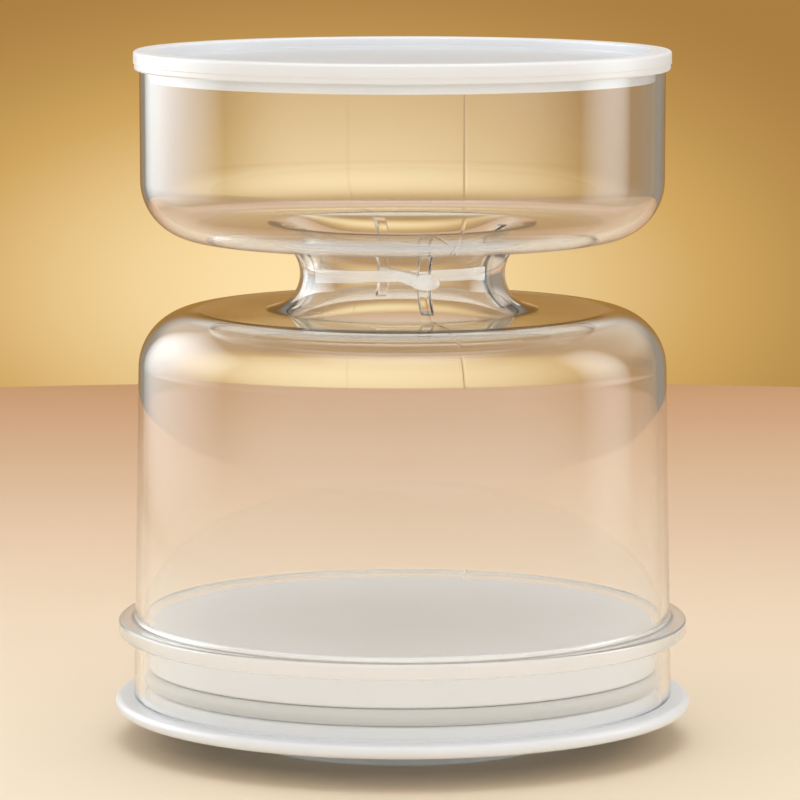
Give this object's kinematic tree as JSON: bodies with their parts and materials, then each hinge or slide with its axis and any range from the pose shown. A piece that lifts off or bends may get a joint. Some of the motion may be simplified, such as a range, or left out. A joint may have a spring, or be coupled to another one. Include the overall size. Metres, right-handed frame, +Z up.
{
  "type": "hourglass dispenser jar",
  "caption": "Clear hourglass jar with a strainer in its neck, a press-on lid and a sealed plug base; turning it over drains the brine away from the food.",
  "frame": {"origin": "on the jar's axis, at the underside of the foot that it stands on", "axes": "+Z up along the jar's axis, -Y towards the moulding gate on the front of the neck"},
  "size_m": [0.1162, 0.1162, 0.1393],
  "materials": {
    "clear_body": "clear, polished",
    "white_lid": "satin, slightly translucent",
    "white_plug": "satin, slightly translucent",
    "pale_seal": "matte, soft"
  },
  "bodies": {
    "base": {"base_plug": "white_plug", "seal_ring": "pale_seal"},
    "jar": {"jar_body": "clear_body"},
    "lid": {"top_lid": "white_lid"}
  },
  "joints": [
    {"name": "jar_pull", "type": "slide", "parent": "base", "child": "jar", "axis": [0, 0, 1], "range_m": [0, 0.09]},
    {"name": "lid_pull", "type": "slide", "parent": "jar", "child": "lid", "axis": [0, 0, 1], "range_m": [0, 0.05]}
  ]
}
